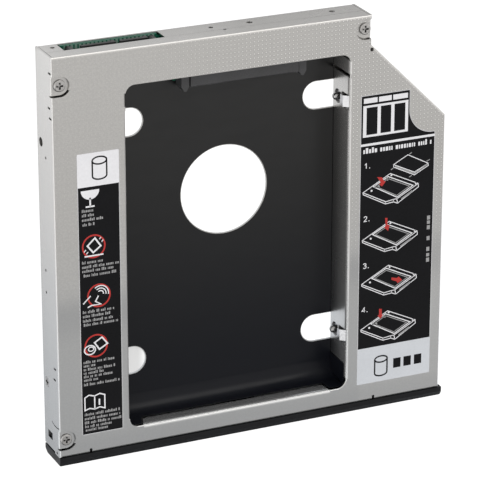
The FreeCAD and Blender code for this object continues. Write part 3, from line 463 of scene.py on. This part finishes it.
def stepped(inset):
    """Outline of the right label: narrow head, hollow curve, full width below."""
    x0, x1, y0, y1 = RIGHT_LABEL
    x0, x1, y0, y1 = x0 + inset, x1 - inset, y0 + inset, y1 - inset
    neck, step, r = RIGHT_NECK_X - inset, RIGHT_STEP_Y - inset, LABEL_CORNER
    points = arc(x1 - r, y0 + r, r, -90, 0) + arc(x1 - r, step - r, r, 0, 90)
    points += arc(RIGHT_NECK_X + RIGHT_COVE_R, RIGHT_STEP_Y + RIGHT_COVE_R,
                  RIGHT_COVE_R + inset, 270, 180, 16)
    points += arc(neck - r, y1 - r, r, 0, 90) + arc(x0 + r, y1 - r, r, 90, 180)
    return points + arc(x0 + r, y0 + r, r, 180, 270)


def cylinder_icon(ink, x, y0, y1, rx, ry, width):
    """Outline of an upright cylinder between y0 and y1."""
    ink.ring(x, y1 - ry, rx, ry, width)
    ink.line([(x - rx, y1 - ry), (x - rx, y0 + ry)], width)
    ink.line([(x + rx, y1 - ry), (x + rx, y0 + ry)], width)
    ink.ring(x, y0 + ry, rx, ry, width, 180, 360, 24)


def make_left_label():
    sheet = Ink("label_left_sheet", "paper", 0)
    sheet.area(rounded(*LEFT_LABEL, LABEL_CORNER), LABEL_SHEET - CASE_FACE_Z)
    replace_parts(sheet.done(), "label_left")
    field = Ink("label_left_field", "black", 1)
    x0, x1, y0, y1 = LEFT_LABEL
    field.block(x0 + FIELD_MARGIN, x1 - FIELD_MARGIN, y0 + FIELD_MARGIN, LEFT_WHITE_Y)
    field.done()

    # White head, glass and open book
    white = Ink("label_left_white", "white", 2)
    white.area(rounded(x0 + 0.05, x1 - 0.05, LEFT_WHITE_Y, y1 - 0.05, LABEL_CORNER))
    white.area(arc(11.25, 84.35, 2.9, 180, 360, 20))
    white.block(10.98, 11.5, 79.3, 82.0)
    white.line([(9.8, 79.25), (12.6, 79.25)], 0.5)
    white.line([(8.3, 14.3), (8.3, 18.45), (9.6, 19.15), (11.45, 18.6), (13.1, 19.15),
                (14.7, 18.5), (14.7, 14.1), (13.1, 14.75), (11.45, 14.3), (9.8, 14.8)], 0.4, True)
    white.line([(11.45, 18.6), (11.45, 14.3)], 0.4)
    white.line([(12.95, 17.4), (12.95, 15.4)], 0.5)
    white.done()

    dark = Ink("label_left_cylinder", "black", 3)
    cylinder_icon(dark, 14.35, 87.35, 94.35, 2.25, 1.15, 0.48)
    dark.done()

    red = Ink("label_left_rings", "red", 3)
    for x, y in ((12.1, 66.65), (13.45, 50.85), (12.25, 34.85)):
        red.ring(x, y, RING_R, RING_R, 0.50)
    red.done()

    # Box on its corner over the ground
    top = Ink("label_left_signs", "white", 4)
    top.line([(12.5, 69.2), (14.3, 66.5), (11.9, 64.7), (10.1, 67.0)], 0.5, True)
    top.line([(9.15, 63.75), (15.1, 63.75)], 0.45)
    for stroke in ([(9.6, 65.9), (9.0, 65.2)], [(10.3, 65.1), (9.7, 64.5)],
                   [(13.9, 68.6), (14.4, 69.2)], [(14.6, 67.7), (15.1, 68.3)]):
        top.line(stroke, 0.3)
    # Hand under three arcs
    for radius in (1.0, 1.8, 2.6):
        top.ring(13.9, 51.3, radius, radius, 0.34, -10, 130, 16)
    top.line([(8.4, 48.8), (10.8, 51.1)], 0.36)
    top.line([(9.8, 47.5), (11.0, 48.0), (14.0, 48.0), (12.3, 49.1), (13.3, 50.8)], 0.4)
    # Box and magnet
    top.line([(14.15, 37.3), (15.9, 35.0), (13.3, 33.5), (11.75, 35.9)], 0.45, True)
    top.ring(10.25, 33.75, 1.75, 1.45, 0.4)
    top.ring(10.6, 34.0, 0.85, 0.65, 0.32)
    top.done()

    # Rows of blocks: left end, right end and middle line of each
    text = Ink("label_left_rows", "faint", 2)
    rows = (
        (8.56, 12.2, 78.1), (8.56, 12.4, 76.7), (8.56, 15.3, 75.3), (8.7, 12.5, 73.8),
        (8.3, 14.9, 61.9), (8.3, 20.1, 60.5), (8.3, 18.5, 59.2), (8.7, 19.0, 57.75),
        (8.25, 18.3, 46.15), (8.25, 17.1, 44.8), (8.25, 17.9, 43.35), (8.45, 19.7, 42.05),
        (8.15, 18.35, 30.0), (8.15, 12.2, 28.85), (8.15, 18.25, 27.65), (8.15, 14.6, 26.5),
        (8.15, 17.7, 25.35), (8.15, 13.0, 24.2), (8.15, 19.75, 22.75),
        (8.15, 19.45, 12.95), (8.15, 19.8, 11.6), (8.15, 20.1, 10.25), (8.2, 17.3, 9.0),
        (8.4, 15.7, 7.85),
    )
    for seed, (x0, x1, y) in enumerate(rows):
        text.marks(x0, x1, y, 0.92, seed)
    text.done()


# Strokes of the step digits, in a square of side 1
DIGITS = {
    1: [[(0.15, 0.72), (0.55, 1.0), (0.55, 0.0)]],
    2: [[(0.05, 0.75), (0.2, 0.95), (0.5, 1.0), (0.8, 0.88), (0.85, 0.62), (0.05, 0.0),
         (0.9, 0.0)]],
    3: [[(0.05, 0.85), (0.3, 1.0), (0.75, 0.95), (0.85, 0.75), (0.72, 0.56), (0.35, 0.54)],
        [(0.72, 0.52), (0.9, 0.3), (0.75, 0.05), (0.3, 0.0), (0.03, 0.15)]],
    4: [[(0.7, 0.0), (0.7, 1.0), (0.0, 0.3), (0.95, 0.3)]],
}


def moved(points, x, y):
    return [(x + dx, y + dy) for dx, dy in points]


def caddy_picture(ink, thin, x, y, loose_bar):
    """Outline of a tray with a window and a cut corner, its left corner at x, y."""
    def put(points):
        return moved(points, x, y)

    top = [(0.0, 0.0), (9.19, 4.9), (18.9, 0.2), (11.6, -3.7), (10.4, -3.75), (7.8, -4.1)]
    ink.line(put(top), 0.26, True)
    ink.line(put([(0.0, 0.0), (0.1, -0.65), (7.7, -4.8), (10.5, -4.55), (11.9, -5.2),
                  (19.0, -0.9), (18.9, 0.2)]), 0.26)
    ink.line(put([(7.8, -4.1), (7.7, -4.8)]), 0.2)
    ink.line(put([(10.4, -3.75), (10.5, -4.55)]), 0.2)
    ink.line(put([(11.6, -3.7), (11.9, -5.2)]), 0.3)
    ink.line(put([(3.5, 1.45), (8.5, 4.0), (17.1, -0.15), (11.65, -3.2)]), 0.3, True)
    thin.line(put([(4.5, 1.3), (8.5, 3.35), (15.9, -0.2), (11.5, -2.6)]), 0.24, True)
    thin.line(put([(13.2, -4.0), (16.9, -1.9)]), 0.5)
    for dx, dy in ((2.9, 0.2), (9.6, 4.3), (18.1, 0.35)):
        ink.disc(x + dx, y + dy, 0.34)
    if loose_bar:
        thin.line(put([(3.9, 1.45), (5.6, 1.1)]), 0.7)
        thin.line(put([(7.7, 3.5), (8.6, 3.0)]), 0.8)


def make_right_label():
    sheet = Ink("label_right_sheet", "paper", 0)
    sheet.area(stepped(0.0), LABEL_SHEET - CASE_FACE_Z)
    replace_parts(sheet.done(), "label_right")
    field = Ink("label_right_field", "black", 1)
    field.area(stepped(FIELD_MARGIN))
    field.done()

    pale = Ink("label_right_foot", "pale", 2)
    x0, x1, y0 = RIGHT_LABEL[:3]
    pale.area(rounded(x0 + 0.04, x1 - 0.04, y0 + 0.04, 18.0, LABEL_CORNER))
    pale.done()

    # Fields at the head, and a row of blocks under a rule
    white = Ink("label_right_white", "white", 2)
    white.block(99.85, 115.1, 87.65, 97.75)
    for x0, x1 in ((100.0, 104.6), (105.1, 109.4), (109.9, 114.9)):
        white.block(x0, x1, 98.45, 100.05)
    white.block(99.2, 124.4, 84.8, 85.55)
    white.marks(100.1, 123.8, 83.3, 1.75, 41)

    # Four steps, each a digit with its point and a picture
    steps = ((78.4, 0.0), (61.2, 0.1), (45.7, 0.1), (31.05, -0.05))
    for number, (y, dx) in enumerate(steps, 1):
        for stroke in DIGITS[number]:
            white.line([(100.55 + dx + u * 1.15, y - 0.8 + v * 1.6) for u, v in stroke], 0.27)
        white.disc(102.3 + dx, y - 0.75, 0.17)
    thin = Ink("label_right_thin", "faint", 2)
    x, top_y = 100.2, 69.9
    for y, loose_bar in ((top_y, True), (54.25, False), (39.75, False), (24.5, True)):
        caddy_picture(white, thin, x, y, loose_bar)

    # The drive above the first picture, with four short strokes at its corners
    drive = [(15.1, 10.1), (22.2, 6.3), (17.5, 4.1), (10.25, 7.6)]
    white.line(moved(drive, x, top_y), 0.26, True)
    side = [(10.25, 7.6), (10.3, 6.8), (17.5, 3.2), (22.25, 5.6), (22.2, 6.3)]
    white.line(moved(side, x, top_y), 0.24)
    thin.line(moved([(10.8, 6.9), (17.5, 3.65), (21.8, 5.9)], x, top_y), 0.4)
    for stroke in ([(15.6, 10.2), (16.4, 10.65)], [(21.6, 7.0), (22.7, 7.5)],
                   [(9.4, 6.05), (10.2, 6.5)], [(15.7, 2.75), (16.6, 3.2)]):
        thin.line(moved(stroke, x, top_y), 0.28)
    # Column of small blocks at the right edge
    for row, y in enumerate((43.6, 45.4, 47.2, 49.0, 50.8, 52.6, 54.4, 56.2, 57.6)):
        if row not in (3, 5):
            thin.block(122.45, 123.5, y, y + 1.35 - 0.25 * (row % 2))
    thin.done()
    white.done()

    # Dark blocks in the head, and a cylinder with three blocks in the foot
    dark = Ink("label_right_dark", "black", 3)
    for x0, x1 in ((101.0, 104.7), (105.8, 109.3), (110.4, 114.1)):
        dark.block(x0, x1, 88.35, 97.05)
    cylinder_icon(dark, 107.4, 7.8, 14.5, 2.15, 1.05, 0.5)
    for x0 in (111.7, 115.3, 119.0):
        dark.block(x0, x0 + 2.6, 9.6, 12.85)
    dark.done()

    # One arrow for each picture
    red = Ink("label_right_arrows", "red", 4)
    red.area([(104.9, 74.3), (106.6, 74.0), (107.3, 72.7), (107.9, 72.4), (106.6, 71.0),
              (105.6, 71.9), (106.2, 72.2), (105.8, 73.0)])
    red.area([(107.9, 60.5), (108.7, 60.4), (108.8, 58.2), (109.55, 57.9), (109.0, 56.1),
              (107.7, 57.4), (108.1, 58.0)])
    red.area([(110.5, 40.4), (112.4, 39.9), (113.0, 40.3), (114.3, 38.9), (112.6, 38.1),
              (112.3, 38.8), (110.5, 39.6)])
    red.area([(106.4, 30.6), (107.35, 30.4), (107.4, 28.5), (107.9, 28.4), (106.9, 27.1),
              (105.9, 28.4), (106.4, 28.5)])
    red.done()


make_left_label()
make_right_label()


def make_floor():
    half = 6.0
    corners = [(-half, -half, 0), (half, -half, 0), (half, half, 0), (-half, half, 0)]
    mesh = bpy.data.meshes.new("floor")
    mesh.from_pydata(corners, [], [(0, 1, 2, 3)])
    floor = bpy.data.objects.new("floor", mesh)
    bpy.context.scene.collection.objects.link(floor)
    mat = bpy.data.materials.new("floor")
    mat.use_nodes = True
    n = Nodes(mat.node_tree)
    x, y = n.split(n.place())[:2]
    # In the sheet metal the floor mirrors as a pool of light that fades to the right and the
    # front. It is darker behind the rear wall, and brighter under the bay and right of the case.
    fall = n.math("ADD", n.times(x, -6.5), n.times(y, 2.9))
    pool = n.math("MINIMUM", n.math("MAXIMUM", n.math("ADD", fall, 0.14), 0.32), 0.78)
    behind = n.times(n.ramp(y, 0.0625, 0.0645), n.ramp(x, -0.055, 0.0, 0.22, 0.03))
    pool = n.math("SUBTRACT", pool, behind)
    under = n.times(n.inside(x, -0.050, 0.050, 0.008), n.inside(y, -0.045, 0.050, 0.008))
    pool = n.math("MAXIMUM", pool, n.times(under, 0.64))
    pool = n.math("MAXIMUM", pool, n.ramp(x, 0.066, 0.078))
    seen = n.add("ShaderNodeLightPath").outputs["Is Camera Ray"]
    diffuse = n.add("ShaderNodeBsdfDiffuse")
    diffuse.inputs["Color"].default_value = rgba(0.32, 0.32, 0.32)
    glow = n.add("ShaderNodeEmission")
    cool = n.mix(n.ramp(y, -0.06, 0.05), rgba(0.935, 0.975, 1.03), rgba(0.985, 0.995, 1.01))
    n.put(glow.inputs["Color"], n.mix(seen, cool, rgba(1.0, 1.0, 1.0)))
    # Straight to the eye the floor is white, with painted light a little brighter under the case
    # and a painted shadow under the front left slot
    shade = n.times(n.inside(x, -0.060, -0.034, 0.004), n.inside(y, -0.055, -0.020, 0.004))
    white = n.math("ADD", 0.85, n.times(under, 0.10))
    white = n.math("SUBTRACT", white, n.times(shade, 0.47))
    straight = n.times(seen, white)
    mirrored = n.times(n.math("SUBTRACT", 1.0, seen), pool)
    n.put(glow.inputs["Strength"], n.math("ADD", straight, mirrored))
    both = n.add("ShaderNodeAddShader")
    n.join(glow.outputs[0], both.inputs[0])
    n.join(diffuse.outputs[0], both.inputs[1])
    out = n.add("ShaderNodeOutputMaterial")
    n.join(both.outputs[0], out.inputs["Surface"])
    mesh.materials.append(mat)
    floor.location.z = -0.00002


def make_world():
    world = bpy.data.worlds.new("studio")
    bpy.context.scene.world = world
    world.use_nodes = True
    n = Nodes(world.node_tree)
    way = n.add("ShaderNodeTexCoord").outputs["Generated"]
    # Dome that falls off towards the front, with a bright patch low at the rear and one low at the
    # left, which the rounded bends mirror as thin bright lines
    lean = n.vector("DOT_PRODUCT", way, (0.0, 1.0, 0.15))
    dome = n.math("ADD", n.times(lean, 2.4), 1.31)
    level = n.math("MINIMUM", n.math("MAXIMUM", dome, 0.06), 0.95)
    rear, left = (0.389, 0.844, 0.368), (-0.844, -0.368, 0.389)
    for aim in (rear, left):
        close = n.vector("DOT_PRODUCT", way, aim)
        level = n.math("ADD", level, n.ramp(close, 0.93, 0.985, 0.0, 1.6))
    lit = n.add("ShaderNodeBackground")
    n.join(level, lit.inputs["Strength"])
    # Cool at the front, warm at the rear
    tint = n.mix(n.ramp(lean, -0.42, -0.12), rgba(0.965, 0.985, 1.0), rgba(1.0, 0.985, 0.962))
    n.join(tint, lit.inputs["Color"])
    white = n.add("ShaderNodeBackground")
    white.inputs["Strength"].default_value = 1.0
    pick = n.add("ShaderNodeMixShader")
    n.join(n.add("ShaderNodeLightPath").outputs["Is Camera Ray"], pick.inputs[0])
    n.join(lit.outputs[0], pick.inputs[1])
    n.join(white.outputs[0], pick.inputs[2])
    out = n.add("ShaderNodeOutputWorld")
    n.join(pick.outputs[0], out.inputs["Surface"])


def make_lamp():
    """Wide soft lamp at the left, aimed at the case. The sheet metal doesn't mirror it."""
    data = bpy.data.lights.new("key", "AREA")
    data.shape = "RECTANGLE"
    data.size = data.size_y = 1.1
    data.energy = 3.0
    lamp = bpy.data.objects.new("key", data)
    bpy.context.scene.collection.objects.link(lamp)
    lamp.location = (-0.55, 0.25, 0.75)
    lamp.rotation_euler = (-lamp.location).to_track_quat("-Z", "Y").to_euler()
    lamp.visible_glossy = False


def make_camera():
    turn = (Matrix.Rotation(math.radians(CAMERA_TILT), 3, "X")
            @ Matrix.Rotation(math.radians(CAMERA_ROLL), 3, "Y"))
    eye = turn.transposed() @ -Vector(CAMERA_OFFSET)
    data = bpy.data.cameras.new("camera")
    data.sensor_width = SENSOR
    data.lens = FOCAL_PIXELS * SENSOR / FRAME_PIXELS
    data.clip_start, data.clip_end = 0.05, 20.0
    camera = bpy.data.objects.new("camera", data)
    bpy.context.scene.collection.objects.link(camera)
    camera.matrix_world = Matrix.Translation(at(*eye)) @ turn.transposed().to_4x4()
    bpy.context.scene.camera = camera


make_floor()
make_world()
make_lamp()
make_camera()
bpy.context.scene.view_settings.view_transform = "Standard"

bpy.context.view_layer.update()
